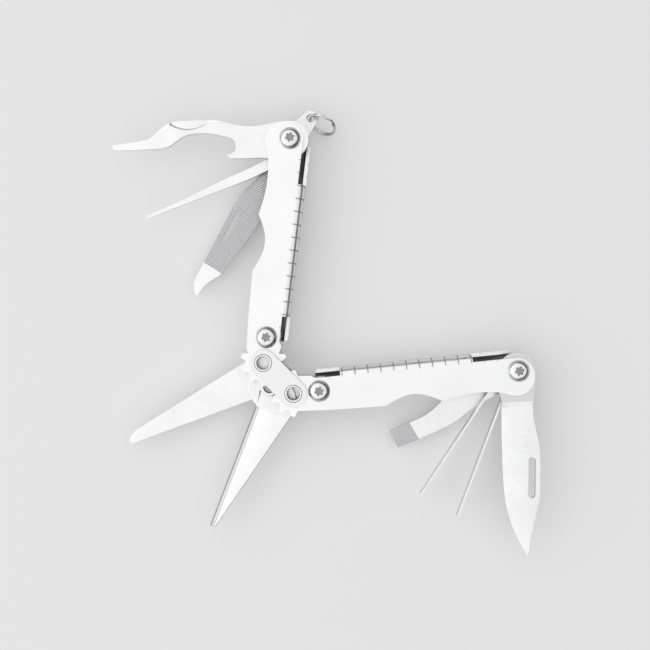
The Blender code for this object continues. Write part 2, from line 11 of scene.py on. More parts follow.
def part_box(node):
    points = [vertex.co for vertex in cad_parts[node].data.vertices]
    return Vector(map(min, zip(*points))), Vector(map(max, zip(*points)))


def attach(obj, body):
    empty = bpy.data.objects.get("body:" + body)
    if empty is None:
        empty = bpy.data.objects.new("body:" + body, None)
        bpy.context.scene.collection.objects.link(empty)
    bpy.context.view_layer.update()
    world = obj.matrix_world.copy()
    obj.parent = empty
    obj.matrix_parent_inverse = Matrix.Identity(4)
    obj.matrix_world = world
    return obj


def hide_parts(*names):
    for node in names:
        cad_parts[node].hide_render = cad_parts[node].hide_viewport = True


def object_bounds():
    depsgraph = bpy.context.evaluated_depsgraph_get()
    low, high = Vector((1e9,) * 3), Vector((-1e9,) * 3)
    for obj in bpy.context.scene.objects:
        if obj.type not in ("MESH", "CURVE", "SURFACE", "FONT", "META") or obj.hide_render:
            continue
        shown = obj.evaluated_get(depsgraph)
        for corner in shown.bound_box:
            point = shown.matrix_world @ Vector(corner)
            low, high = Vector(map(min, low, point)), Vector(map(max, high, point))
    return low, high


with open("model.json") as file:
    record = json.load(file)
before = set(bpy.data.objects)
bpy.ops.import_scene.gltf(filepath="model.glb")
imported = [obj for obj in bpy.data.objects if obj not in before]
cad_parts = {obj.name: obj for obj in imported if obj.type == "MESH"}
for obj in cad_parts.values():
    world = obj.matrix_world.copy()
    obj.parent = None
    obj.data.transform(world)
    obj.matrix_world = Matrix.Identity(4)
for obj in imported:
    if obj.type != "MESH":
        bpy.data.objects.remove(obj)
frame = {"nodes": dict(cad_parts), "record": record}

bl_info = {
    "name": "Key-ring multi tool",
    "version": (1, 0, 0),
    "blender": (4, 5, 0),
    "location": "3D view, sidebar, Multi tool",
    "description": "Builds the finished pieces of a folding scissors multi tool around its packed frame",
    "category": "Add Mesh",
}

MM = 0.001
LEFT, RIGHT = 1, -1
UNTURNED = Matrix.Identity(4)
TURNING_STEPS = 72
SECOND, THIRD = 1, 2
CAD_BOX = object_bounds()
MID_HEIGHT = (CAD_BOX[0].z + CAD_BOX[1].z) / 2


# ---------------------------------------------------------------- places taken from the frame

JOINTS = {joint["name"]: joint for joint in frame["record"]["behaviour"]["joints"]}
HANDLE_JOINT = {LEFT: "left_handle_swing", RIGHT: "right_handle_swing"}
BLADE_JOINT = {LEFT: "front_blade_swing", RIGHT: "rear_blade_swing"}
AXLE_JOINT = {LEFT: "opener_fold", RIGHT: "knife_fold"}


def flat_pos(joint):
    """A joint's place in the plan, at the height of the rest plane."""
    x, y, _ = JOINTS[joint]["pos_m"]
    return Vector((x, y, 0))


def heading(vector):
    """The angle of a plan vector from +X."""
    return math.atan2(vector.y, vector.x)


def handle_place(side):
    """A handle's own axes: origin on its pivot, x to its axle."""
    pivot = flat_pos(HANDLE_JOINT[side])
    lean = heading(flat_pos(AXLE_JOINT[side]) - pivot)
    return Matrix.Translation(pivot) @ Matrix.Rotation(lean, 4, "Z")


def tool_place(joint, side, straight=180):
    """A folding tool's own axes: origin on the axle, x to its tip. Its joint's high limit is straight out."""
    angle = math.radians(straight - JOINTS[joint]["range_deg"][1])
    lean = heading(flat_pos(AXLE_JOINT[side]) - flat_pos(HANDLE_JOINT[side]))
    turn = lean + side * (math.pi - angle)
    return Matrix.Translation(flat_pos(joint)) @ Matrix.Rotation(turn, 4, "Z")


def plan_centre(node):
    """The middle of a node's box in the plan, at the height of the rest plane."""
    low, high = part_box(node)
    return Vector(((low[0] + high[0]) / 2, (low[1] + high[1]) / 2, 0))


def blade_place(side):
    """A scissor blade's own axes: origin on the blades' common pivot, x to the tip."""
    pivot = plan_centre("blade_pivot_eyelet")
    tang = flat_pos(BLADE_JOINT[side]) - pivot
    shut = math.asin(abs(flat_pos(HANDLE_JOINT[side]).x) / tang.length)
    lean = math.atan2(abs(tang.x), tang.y) - shut
    return Matrix.Translation(pivot) @ Matrix.Rotation(-math.pi / 2 + side * lean, 4, "Z")


def levels(node):
    """The lowest and highest Z of a node."""
    low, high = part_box(node)
    return low[2], high[2]


# ---------------------------------------------------------------- shader maths

class Wire:
    """A shader socket that can be used in sums."""

    def __init__(self, tree, socket):
        self.tree = tree
        self.socket = socket

    def sum_node(self, operation, first, second):
        """A Math node on two wires or numbers."""
        node = self.tree.nodes.new("ShaderNodeMath")
        node.operation = operation
        for socket, value in zip(node.inputs, (first, second)):
            join(self.tree, socket, value)
        return Wire(self.tree, node.outputs[0])

    def __add__(self, other):
        return self.sum_node("ADD", self, other)

    def __radd__(self, other):
        return self.sum_node("ADD", other, self)

    def __sub__(self, other):
        return self.sum_node("SUBTRACT", self, other)

    def __rsub__(self, other):
        return self.sum_node("SUBTRACT", other, self)

    def __mul__(self, other):
        return self.sum_node("MULTIPLY", self, other)

    def __rmul__(self, other):
        return self.sum_node("MULTIPLY", other, self)

    def __pow__(self, other):
        return self.sum_node("POWER", self, other)

    def __rpow__(self, other):
        return self.sum_node("POWER", other, self)


def join(tree, socket, value):
    """Link a wire to a socket, or set the socket's own value."""
    if isinstance(value, Wire):
        tree.links.new(value.socket, socket)
    elif value is not None:
        socket.default_value = value


class Nodes:
    """The nodes of a material or of the surround."""

    def __init__(self, tree):
        self.tree = tree

    def add(self, kind, settings=None, outlet=0, second=None, **sockets):
        """Add a node by its type, its settings or two ramp stops, and its sockets by name or second place."""
        node = self.tree.nodes.new(kind)
        settings = dict(settings or {})
        stops = settings.pop("stops", None)
        for key, value in settings.items():
            setattr(node, key, value)
        if stops:
            for element, (position, colour) in zip(node.color_ramp.elements, stops):
                element.position = position
                element.color = (*colour, 1)
        for key, value in sockets.items():
            join(self.tree, node.inputs[key.replace("_", " ")], value)
        if second is not None:
            join(self.tree, node.inputs[1], second)
        return Wire(self.tree, node.outputs[outlet])


class Finish(Nodes):
    """A node material being put together."""

    def __init__(self, name):
        self.material = bpy.data.materials.new(name)
        self.material.use_nodes = True
        super().__init__(self.material.node_tree)

    def shade(self, **sockets):
        """Set or link the shader's sockets by name, with spaces as underscores."""
        for key, value in sockets.items():
            join(self.tree, self.tree.nodes["Principled BSDF"].inputs[key.replace("_", " ")], value)

    def ramp(self, factor, *stops):
        """A colour ramp with two (position, colour) stops."""
        return self.add("ShaderNodeValToRGB", {"stops": stops}, Fac=factor)

    def plan(self, where):
        """The x and y of a place."""
        split = self.add("ShaderNodeSeparateXYZ", Vector=where).socket.node
        return [Wire(self.tree, split.outputs[axis]) for axis in (0, 1)]

    def wave(self, phase):
        """A sine from -1 to 1."""
        return self.add("ShaderNodeMath", {"operation": "SINE"}, Value=phase)

    def where(self, centre=(0, 0, 0), turn=0, scale=(1, 1, 1)):
        """Object coordinates in millimetres, about a point, turned to a piece's own axes and stretched."""
        coords = self.add("ShaderNodeTexCoord", outlet=3)
        moved = self.add("ShaderNodeVectorMath", {"operation": "SUBTRACT"}, Vector=coords, second=centre)
        turned = self.add("ShaderNodeVectorRotate", {"rotation_type": "Z_AXIS"}, Vector=moved, Angle=-turn)
        return self.add("ShaderNodeMapping", Vector=turned, Scale=[part / MM for part in scale])

    def noise(self, where, scale, detail):
        """A smooth noise from 0 to 1, with its scale per millimetre."""
        return self.add("ShaderNodeTexNoise", Vector=where, Scale=scale, Detail=detail, Roughness=0.6)

    def steel(self, colour, roughness, bump, distance, strength):
        """Plug a bare metal together from its colour, roughness and surface height."""
        normal = self.add("ShaderNodeBump", Height=bump, Distance=distance, Strength=strength)
        self.shade(Base_Color=colour, Roughness=roughness, Metallic=1.0, Normal=normal)
        return self.material


def tone(colour, amount):
    """A colour made lighter or darker."""
    return tuple(min(1, part * amount) for part in colour)


def satin_steel(name, colour, roughness, place=None):
    """Fine satin sheet steel: a tight grain, faint clouding and fine flecks."""
    finish = Finish(name)
    turn = place.to_euler().z if place else 0
    along = finish.where(turn=turn, scale=(0.35, 3.2, 1))
    even = finish.where()
    cloud = finish.noise(even, 0.09, 2)
    grain = finish.noise(along, 2.6, 4)
    fleck = finish.noise(even, 9, 2)
    shade = cloud * 0.5 + grain * 0.3 + fleck * 0.2
    tint = finish.ramp(shade, (0.3, tone(colour, 0.94)), (0.7, tone(colour, 1.03)))
    rough = roughness - 0.07 + cloud * 0.08 + grain * 0.06
    return finish.steel(tint, rough, grain * 0.6 + fleck * 0.4, 0.01 * MM, 0.25)


def brushed_steel(name, colour, roughness, place, across=True):
    """Blade stock with straight brush lines, across the blade or along it."""
    finish = Finish(name)
    stretch = (4.5, 0.22, 1) if across else (0.22, 4.5, 1)
    lines = finish.where(centre=place.to_translation(), turn=place.to_euler().z, scale=stretch)
    even = finish.where()
    brush = finish.noise(lines, 2.2, 5)
    cloud = finish.noise(even, 0.12, 2)
    shade = brush * 0.65 + cloud * 0.35
    tint = finish.ramp(shade, (0.32, tone(colour, 0.88)), (0.66, tone(colour, 1.04)))
    rough = roughness - 0.1 + brush * 0.14 + cloud * 0.06
    return finish.steel(tint, rough, brush, 0.012 * MM, 0.4)


def turned_steel(name, colour, roughness, centre):
    """Turned steel, with fine rings about its own centre."""
    finish = Finish(name)
    x, y = finish.plan(finish.where(centre=centre))
    radius = (x * x + y * y) ** 0.5
    rings = finish.wave(radius * 42.0)
    cloud = finish.noise(finish.where(), 0.8, 3)
    tint = finish.ramp(cloud, (0.3, tone(colour, 0.93)), (0.7, tone(colour, 1.04)))
    rough = roughness - 0.05 + cloud * 0.1
    return finish.steel(tint, rough, rings * 0.5 + cloud * 0.5, 0.008 * MM, 0.3)


def filed_steel(name, colour, roughness, place):
    """A cross-cut file face: two sets of slanted cuts over a matte ground. Its tone follows the cuts' height,
    darker in the cuts as painted shade and lighter on the teeth as a painted highlight.
    """
    finish = Finish(name)
    x, y = finish.plan(finish.where(centre=place.to_translation(), turn=place.to_euler().z))
    first = finish.wave((x + y * 0.12) * 12.0)
    second = finish.wave((y + x * 0.35) * 13.0)
    cut = first * 0.3 + second * 0.2 + 0.5
    cloud = finish.noise(finish.where(), 1.4, 3)
    # Painted shade in the cuts and a painted highlight on the teeth: the tone follows the same height as the
    # bump.
    tint = finish.ramp(cut * 0.7 + cloud * 0.3, (0.2, tone(colour, 0.62)), (0.75, tone(colour, 1.18)))
    return finish.steel(tint, roughness + cloud * 0.1, cut, 0.05 * MM, 0.8)


# ---------------------------------------------------------------- mesh work

def cad_copy(node, place):
    """A merged copy of a CAD node, in a piece's own axes, with its flat faces in one."""
    bm = bmesh.new()
    bm.from_mesh(frame["nodes"][node].data)
    bmesh.ops.remove_doubles(bm, verts=bm.verts, dist=2e-6)
    bmesh.ops.dissolve_limit(bm, angle_limit=math.radians(1), verts=bm.verts, edges=bm.edges)
    bmesh.ops.transform(bm, matrix=place.inverted(), verts=bm.verts)
    return bm


def soften(bm, width, segments, limit=50, apart=None):
    """Round off every outward corner sharper than an angle, but for edges that a test sets apart."""
    bm.normal_update()
    edges = [edge for edge in bm.edges
             if edge.is_manifold and edge.is_convex and edge.calc_face_angle() > math.radians(limit)
             and not (apart and apart(edge))]
    bmesh.ops.bevel(bm, geom=edges, offset=width, offset_type="OFFSET", affect="EDGES", segments=segments,
                    profile=0.5, material=-1, clamp_overlap=True)


def slice_at(bm, point, normal):
    """Cut every face along a plane, without opening the mesh."""
    geometry = bm.verts[:] + bm.edges[:] + bm.faces[:]
    bmesh.ops.bisect_plane(bm, geom=geometry, plane_co=point, plane_no=normal, dist=1e-7)


def slice_grid(bm, step, x_range, y_range):
    """Cut the faces into a grid, so that a flat piece can be thinned smoothly."""
    for axis, (start, stop) in enumerate((x_range, y_range)):
        count = max(1, round((stop - start) / step))
        for i in range(count + 1):
            place = start + (stop - start) * i / count
            point = (place, 0, 0) if axis == 0 else (0, place, 0)
            normal = (1, 0, 0) if axis == 0 else (0, 1, 0)
            slice_at(bm, point, normal)


def rim(bm, sign):
    """The outline on one side of a piece, as a function that gives y at x."""
    spans = [sorted(tuple(vert.co.xy) for vert in edge.verts) for edge in bm.edges]

    def reach(x):
        found = [y0 + (y1 - y0) * (x - x0) / (x1 - x0)
                 for (x0, y0), (x1, y1) in spans if x0 <= x <= x1 and x1 - x0 > 1e-9]
        return max(found, key=lambda y: sign * y) if found else 0.0

    return reach


def ease(value):
    """Hold a value between 0 and 1."""
    return max(0.0, min(1.0, value))


def thin(bm, share, low, high, faces="both"):
    """Thin a flat piece to a share of its thickness that depends on x and y, from one face or from both."""
    middle = {"both": (low + high) / 2, "top": low, "bottom": high}[faces]
    for vert in bm.verts:
        vert.co.z = middle + (vert.co.z - middle) * share(vert.co.x, vert.co.y)


def taper(bm, root, tip, loss, low, high):
    """Thin a flat piece evenly from a root to a tip, where it has lost a share of its thickness."""
    thin(bm, lambda x, y: 1 - loss * ease((x - root) / (tip - root)), low, high)


def finish_piece(bm, name, body, materials, place, node, sharp=38):
    """Make the finished object, let it ride on its body, and hide the CAD node that it takes the place of."""
    bmesh.ops.transform(bm, matrix=place, verts=bm.verts)
    bmesh.ops.recalc_face_normals(bm, faces=bm.faces)
    mesh = bpy.data.meshes.new(name)
    bm.to_mesh(mesh)
    bm.free()
    for material in materials:
        mesh.materials.append(material)
    mesh.shade_smooth()
    mesh.set_sharp_from_angle(angle=math.radians(sharp))
    piece = bpy.data.objects.new(name, mesh)
    bpy.context.collection.objects.link(piece)
    weigh = piece.modifiers.new("flat_faces_stay_flat", "WEIGHTED_NORMAL")
    weigh.keep_sharp = True
    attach(piece, body)
    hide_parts(node)


def finish_tool(bm, node, materials, place, sharp=38):
    """Make the finished object of a tool that is a body of its own."""
    finish_piece(bm, node + "_finished", node, materials, place, node, sharp)


def spin_profile(profile):
    """A closed (radius, height) profile spun about Z."""
    bm = bmesh.new()
    ring = [bm.verts.new((radius, 0, height)) for radius, height in profile]
    edges = [bm.edges.new((ring[i], ring[(i + 1) % len(ring)])) for i in range(len(ring))]
    bmesh.ops.spin(bm, geom=ring + edges, axis=(0, 0, 1), cent=(0, 0, 0), angle=math.tau,
                   steps=TURNING_STEPS, use_merge=True)
    bmesh.ops.remove_doubles(bm, verts=bm.verts, dist=1e-7)
    return bm


def rounded(corner, radius, start, stop, count=4):
    """Points of a small round about a corner's centre, with angles in degrees."""
    points = []
    for i in range(count + 1):
        angle = math.radians(start + (stop - start) * i / count)
        points.append((corner[0] + radius * math.cos(angle), corner[1] + radius * math.sin(angle)))
    return points


# ---------------------------------------------------------------- settings

class MultiToolFinishes(bpy.types.PropertyGroup):
    """Colours and polish of the steels."""
    sheet_colour: FloatVectorProperty(name="Sheet colour", description="Steel of the handles and link plates",
                                      default=(0.76, 0.76, 0.765), size=3, subtype="COLOR", min=0, max=1)
    sheet_roughness: FloatProperty(name="Sheet roughness", description="Polish of the handles",
                                   default=0.3, min=0.05, max=1)
    # Painted shade: the dark colour on the inside walls of the handles' channel stands in for the shade
    # there.
    channel_shade_colour: FloatVectorProperty(name="Inside colour", description="Unpolished inside of the handles",
                                       default=(0.16, 0.16, 0.165), size=3, subtype="COLOR", min=0, max=1)
    blade_colour: FloatVectorProperty(name="Blade colour", description="Steel of the blades and tools",
                                      default=(0.74, 0.74, 0.745), size=3, subtype="COLOR", min=0, max=1)
    blade_roughness: FloatProperty(name="Blade roughness", description="Polish of the blades and tools",
                                   default=0.3, min=0.05, max=1)
    ground_colour: FloatVectorProperty(name="Ground colour", description="Steel of the ground cutting edges",
                                       default=(0.42, 0.42, 0.43), size=3, subtype="COLOR", min=0, max=1)
    file_colour: FloatVectorProperty(name="File colour", description="Steel of the file's cut faces",
                                     default=(0.44, 0.44, 0.45), size=3, subtype="COLOR", min=0, max=1)
    screw_colour: FloatVectorProperty(name="Screw colour", description="Steel of screws, posts and washers",
                                      default=(0.68, 0.68, 0.685), size=3, subtype="COLOR", min=0, max=1)
    # Painted shade: a dark colour inside the screws' drive recesses, and darker still inside the eyelets'
    # bores.
    recess_shade_colour: FloatVectorProperty(name="Recess colour", description="Inside the screws' drive recesses",
                                       default=(0.26, 0.26, 0.27), size=3, subtype="COLOR", min=0, max=1)
    wire_colour: FloatVectorProperty(name="Wire colour", description="Drawn wire of the key ring",
                                     default=(0.62, 0.62, 0.63), size=3, subtype="COLOR", min=0, max=1)


class MultiToolSizes(bpy.types.PropertyGroup):
    """Edge and grinding sizes."""
    sheet_round: FloatProperty(name="Sheet edge round", description="Rounding of the handles' edges",
                               default=0.26 * MM, unit="LENGTH")
    rule_start: FloatProperty(name="Rule start", description="First rule line, from the handle's pivot",
                              default=50.4 * MM, unit="LENGTH")
    rule_pitch: FloatProperty(name="Rule pitch", description="Spacing of the rule lines",
                              default=3.175 * MM, unit="LENGTH")
    rule_count: IntProperty(name="Rule lines", description="Number of rule lines", default=14, min=1)
    link_round: FloatProperty(name="Link edge round", description="Rounding of the link plates' edges",
                              default=0.36 * MM, unit="LENGTH")
    tool_round: FloatProperty(name="Tool edge round", description="Rounding of the tools' edges",
                              default=0.2 * MM, unit="LENGTH")
    shear_grind: FloatProperty(name="Scissor grind", description="Width of a scissor blade's ground edge",
                               default=1.05 * MM, unit="LENGTH")
    knife_grind: FloatProperty(name="Knife grind", description="Height of the knife's flat grind",
                               default=5.6 * MM, unit="LENGTH")
    file_pitch: FloatProperty(name="File pitch", description="Spacing of the file's cuts",
                              default=0.52 * MM, unit="LENGTH")
    recess_radius: FloatProperty(name="Recess radius", description="Outer radius of the six-lobed recess",
                                 default=1.18 * MM, unit="LENGTH")
    recess_depth: FloatProperty(name="Recess depth", description="Depth of the six-lobed recess",
                                default=0.4 * MM, unit="LENGTH")
    ring_wire: FloatProperty(name="Ring wire radius", description="Radius of the split ring's wire",
                             default=0.25 * MM, unit="LENGTH")
    ring_steps: IntProperty(name="Ring steps", description="Steps in a turn of the split ring", default=72,
                            min=24)


class MultiToolStage(bpy.types.PropertyGroup):
    """Camera, lights and floor."""
    camera_height: FloatProperty(name="Camera height", description="Height above the middle of the tool",
                                 default=250 * MM, unit="LENGTH")
    camera_centre: FloatVectorProperty(name="Camera centre", description="Point under the camera",
                                       default=(-1.3 * MM, 17.22 * MM), size=2, unit="LENGTH")
    camera_roll: FloatProperty(name="Camera roll", description="Turn of the view about its own line",
                               default=math.radians(45.50), subtype="ANGLE")
    field: FloatProperty(name="Field", description="Width that the camera sees at the middle of the tool",
                         default=161.5 * MM, unit="LENGTH")
    floor_colour: FloatVectorProperty(name="Floor colour", description="Pale floor", size=3,
                                      default=(0.46, 0.46, 0.46), subtype="COLOR", min=0, max=1)
    floor_glow: FloatProperty(name="Floor glow", description="Light that the floor gives off by itself",
                              default=0.26)
    panel_power: FloatProperty(name="Panel power", description="Watts of the overhead panel", default=43.5)
    panel_shift: FloatProperty(name="Panel shift", description="Overhead panel's shift to the view's left",
                               default=1.0, unit="LENGTH")
    panel_size: FloatProperty(name="Panel size", description="Side of the overhead panel", default=3.6,
                              unit="LENGTH")
    panel_height: FloatProperty(name="Panel height", description="Height of the overhead panel", default=0.8,
                                unit="LENGTH")
    side_power: FloatProperty(name="Side power", description="Watts of the side panel", default=0.4)
    side_size: FloatProperty(name="Side size", description="Side of the side panel", default=0.4,
                             unit="LENGTH")
    side_place: FloatVectorProperty(name="Side place", description="Side panel from the camera's centre",
                                    default=(-0.32, -0.42, 0.34), size=3, unit="LENGTH")
    sky: FloatProperty(name="Surround", description="Brightness of the surround", default=0.5)


# ---------------------------------------------------------------- operators

def sheet(name, place):
    """The handles' satin steel."""
    finishes = bpy.context.scene.multi_tool_finishes
    return satin_steel(name, finishes.sheet_colour, finishes.sheet_roughness, place)


def stock(name, place, across=True):
    """The tools' brushed steel."""
    finishes = bpy.context.scene.multi_tool_finishes
    return brushed_steel(name, finishes.blade_colour, finishes.blade_roughness, place, across)


class MULTITOOL_OT_handles(bpy.types.Operator):
    """Build both folded handles with softened edges"""
    bl_idname = "multi_tool.handles"
    bl_label = "Handles"

    def execute(self, context):
        finishes = context.scene.multi_tool_finishes
        sizes = context.scene.multi_tool_sizes
        web_start, web_end = 11 * MM, 45.2 * MM
        web_bend, slot_bend = -2.9 * MM, -3.3 * MM
        for side, node in ((LEFT, "left_handle"), (RIGHT, "right_handle")):
            place = handle_place(side)
            bm = cad_copy(node, place)
            self.sort_faces(bm, sizes, side)

            def by_the_rule(edge):
                middle = (edge.verts[0].co + edge.verts[1].co) / 2
                web = web_start < middle.x < web_end
                return side * middle.y < (web_bend if web else slot_bend)

            soften(bm, sizes.sheet_round, 3, apart=by_the_rule)
            groove = satin_steel(node + "_groove", tone(finishes.sheet_colour, 0.62), 0.6, place)
            # The channel's inside walls get a dark copy of the satin steel: painted shade.
            inside = satin_steel(node + "_inside", finishes.channel_shade_colour, 0.5, place)
            finish_piece(bm, node + "_shell", node, [sheet(node + "_satin", place), groove, inside], place,
                         node)
        return {"FINISHED"}

    def sort_faces(self, bm, sizes, side):
        """Set the rule's grooves apart, and the inside of the channel, whose dark colour is painted shade."""
        bm.normal_update()
        lines = [sizes.rule_start - sizes.rule_pitch * i for i in range(sizes.rule_count)]
        half_line, bend, neck, lip, inward = 0.17 * MM, -3 * MM, 7 * MM, -4.2 * MM, 0.5 * MM
        for face in bm.faces:
            middle, normal = face.calc_center_median(), face.normal
            on_line = any(all(abs(vert.co.x - line) < half_line for vert in face.verts) for line in lines)
            along = middle.x > neck and abs(normal.x) < 0.7
            not_lip = side * middle.y > lip or abs(normal.z) < 0.5
            towards_core = -middle.y * normal.y + (MID_HEIGHT - middle.z) * normal.z
            if side * middle.y < bend and on_line:
                face.material_index = SECOND
            # Faces on the channel's inside walls take the painted shade.
            elif along and not_lip and towards_core > inward:
                face.material_index = THIRD


class MULTITOOL_OT_links(bpy.types.Operator):
    """Build the two oval link plates with rounded rims"""
    bl_idname = "multi_tool.links"
    bl_label = "Link plates"

    def execute(self, context):
        finishes = context.scene.multi_tool_finishes
        sizes = context.scene.multi_tool_sizes
        for node in ("front_link_plate", "rear_link_plate"):
            bm = cad_copy(node, UNTURNED)
            satin = satin_steel(node + "_satin", tone(finishes.sheet_colour, 0.92), 0.32)
            soften(bm, sizes.link_round, 4)
            finish_piece(bm, node + "_rounded", "link", [satin], UNTURNED, node)
        return {"FINISHED"}


class MULTITOOL_OT_eyelets(bpy.types.Operator):
    """Turn the hollow pivot eyelets with rolled lips"""
    bl_idname = "multi_tool.eyelets"
    bl_label = "Eyelets"

    def execute(self, context):
        finishes = context.scene.multi_tool_finishes
        lip, foot, beyond_tube, beyond_bore = 0.2 * MM, 0.3 * MM, 0.8 * MM, 1.37 * MM
        for prefix, side in (("left", LEFT), ("right", RIGHT)):
            centre = flat_pos(HANDLE_JOINT[side])
            for end in ("front", "rear"):
                node = f"{prefix}_pivot_eyelet_{end}"
                low, high = levels(node)
                flange = (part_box(node)[1][0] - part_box(node)[0][0]) / 2
                tube, bore = flange - beyond_tube, flange - beyond_bore
                profile = [(bore, low), (flange, low), (flange, low + foot), (tube, low + foot)]
                profile += rounded((tube - lip, high - lip), lip, 0, 90)
                profile += rounded((bore + lip, high - lip), lip, 90, 180)
                if end == "rear":
                    profile = [(radius, low + high - height) for radius, height in profile]
                self.turn(finishes, node, profile, bore, centre, "link")
        low, high = levels("blade_pivot_eyelet")
        centre = plan_centre("blade_pivot_eyelet")
        foot, top, tube, bore = 3.0 * MM, 2.35 * MM, 1.85 * MM, 1.45 * MM
        lip, flange = 0.1 * MM, 0.22 * MM
        profile = [(bore, low), *rounded((foot - lip, low + lip), lip, 270, 360, 2), (foot, low + flange)]
        profile += [(tube, low + flange), (tube, high - flange), (top, high - flange)]
        profile += rounded((top - lip, high - lip), lip, 0, 90, 3)
        profile += rounded((bore + lip, high - lip), lip, 90, 180, 3)
        self.turn(finishes, "blade_pivot_eyelet", profile, bore, centre, "front_blade")
        return {"FINISHED"}

    def turn(self, finishes, node, profile, bore, centre, body):
        """One eyelet, with painted shade inside its bore."""
        bm = spin_profile(profile)
        for face in bm.faces:
            if all(vert.co.xy.length < bore + 0.01 * MM for vert in face.verts):
                face.material_index = SECOND
        steel = turned_steel(node + "_turned", finishes.screw_colour, 0.24, centre)
        # The bore gets a very dark copy of the turned steel: painted shade.
        bore_shade = turned_steel(node + "_bore", tone(finishes.recess_shade_colour, 0.4), 0.35, centre)
        finish_piece(bm, node + "_turned", body, [steel, bore_shade], Matrix.Translation(centre), node)


class MULTITOOL_OT_screws(bpy.types.Operator):
    """Turn the button-head screws and press their six-lobed recesses"""
    bl_idname = "multi_tool.screws"
    bl_label = "Screws"

    def execute(self, context):
        for prefix, side in (("left", LEFT), ("right", RIGHT)):
            for post, joint in (("tang", BLADE_JOINT[side]), ("axle", AXLE_JOINT[side])):
                for end in ("front", "rear"):
                    self.screw(context, f"{prefix}_{post}_screw_{end}", flat_pos(joint), end == "front",
                               prefix + "_handle")
        return {"FINISHED"}

    def screw(self, context, node, centre, front, body):
        """One screw, built head up and turned over for the rear."""
        sizes = context.scene.multi_tool_sizes
        finishes = context.scene.multi_tool_finishes
        low, high = levels(node)
        if not front:
            low, high = -high, -low
        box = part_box(node)
        head = (box[1][0] - box[0][0]) / 2
        shank, seat, crown = 1.3 * MM, high - 1.27 * MM, 1.28 * MM
        drop, under_x, under_z, dome_steps = 0.95 * MM, 0.1 * MM, 0.08 * MM, 8
        profile = [(0, low), (shank, low), (shank, seat), (head - under_x, seat), (head, seat + under_z)]
        for i in range(dome_steps, -1, -1):
            t = i / dome_steps
            profile.append((crown + (head - crown) * t, high - drop * t * t))
        bm = bmesh.new()
        ring = [bm.verts.new((radius, 0, height)) for radius, height in profile]
        edges = [bm.edges.new((ring[i], ring[i + 1])) for i in range(len(ring) - 1)]
        bmesh.ops.spin(bm, geom=ring + edges, axis=(0, 0, 1), cent=(0, 0, 0), angle=math.tau,
                       steps=TURNING_STEPS, use_merge=True)
        bmesh.ops.remove_doubles(bm, verts=bm.verts, dist=1e-7)
        crown_edge = [edge for edge in bm.edges if edge.is_boundary]
        mouth = self.lobes(bm, sizes.recess_radius, high)
        bmesh.ops.bridge_loops(bm, edges=crown_edge + mouth)
        grown = bmesh.ops.extrude_edge_only(bm, edges=mouth)
        wall = [item for item in grown["geom"] if isinstance(item, bmesh.types.BMVert)]
        bmesh.ops.translate(bm, verts=wall, vec=(0, 0, -sizes.recess_depth))
        bmesh.ops.scale(bm, verts=wall, vec=(0.94, 0.94, 1))
        floor = [item for item in grown["geom"] if isinstance(item, bmesh.types.BMEdge)
                 and item.is_boundary]
        cap = bmesh.ops.edgeloop_fill(bm, edges=floor)["faces"]
        sunk = bmesh.ops.poke(bm, faces=cap)
        for vert in sunk["verts"]:
            vert.co.z -= 0.12 * MM
        # Faces inside the recess take the painted shade.
        for face in bm.faces:
            within = all(vert.co.xy.length < sizes.recess_radius + 1e-6 for vert in face.verts)
            if within and seat < face.calc_center_median().z < high - 1e-6:
                face.material_index = SECOND
        place = Matrix.Translation(centre)
        if not front:
            place = place @ Matrix.Rotation(math.pi, 4, "X")
        steel = turned_steel(node + "_turned", finishes.screw_colour, 0.26, centre)
        recess_shade = turned_steel(node + "_recess", finishes.recess_shade_colour, 0.4, centre)
        finish_piece(bm, node + "_turned", body, [steel, recess_shade], place, node, 50)

    def lobes(self, bm, radius, height):
        """The edges of a six-lobed outline."""
        circle = bmesh.ops.create_circle(bm, segments=TURNING_STEPS, radius=radius, cap_ends=False)["verts"]
        for vert in circle:
            angle = math.atan2(vert.co.y, vert.co.x)
            reach = radius * (0.85 + 0.15 * math.cos(6 * angle))
            vert.co = (reach * math.cos(angle), reach * math.sin(angle), height)
        return list({edge for vert in circle for edge in vert.link_edges})


class MULTITOOL_OT_scissors(bpy.types.Operator):
    """Grind the two scissor blades"""
    bl_idname = "multi_tool.scissors"
    bl_label = "Scissor blades"

    def execute(self, context):
        finishes = context.scene.multi_tool_finishes
        sizes = context.scene.multi_tool_sizes
        width, start, edge_share = sizes.shear_grind, 5.6 * MM, 0.3
        for side, node, body, face in ((LEFT, "front_scissor_blade", "front_blade", "top"),
                                       (RIGHT, "rear_scissor_blade", "rear_blade", "bottom")):
            place = blade_place(side)
            low, high = levels(node)
            bm = cad_copy(node, place)
            outline = rim(bm, -side)
            x0, x1 = start, max(vert.co.x for vert in bm.verts) - 1 * MM
            y0, y1 = outline(x0), outline(x1)
            slope = (y1 - y0) / (x1 - x0)
            soften(bm, sizes.tool_round, 2)

            def behind_edge(x, y):
                return side * (y - (y0 + slope * (x - x0)))

            def share(x, y):
                return 1.0 if x < start else edge_share + (1 - edge_share) * ease(behind_edge(x, y) / width)

            slice_at(bm, (x0, y0 + side * width, 0), (-slope, 1, 0))
            slice_at(bm, (start, 0, 0), (1, 0, 0))
            slice_at(bm, (start + 0.01 * MM, 0, 0), (1, 0, 0))
            thin(bm, share, low, high, face)
            bm.normal_update()
            ground_z = high if face == "top" else low
            for part in bm.faces:
                middle = part.calc_center_median()
                in_grind = middle.x > start and behind_edge(middle.x, middle.y) < width * 0.98
                lowered = abs(middle.z - ground_z) > 0.02 * MM
                faces_out = abs(part.normal.z) > 0.3 and (part.normal.z > 0) == (face == "top")
                if in_grind and lowered and faces_out:
                    part.material_index = SECOND
            ground = brushed_steel(node + "_ground", finishes.ground_colour, 0.3, place)
            finish_piece(bm, node + "_ground", body, [stock(node + "_brushed", place), ground], place,
                         node)
        return {"FINISHED"}


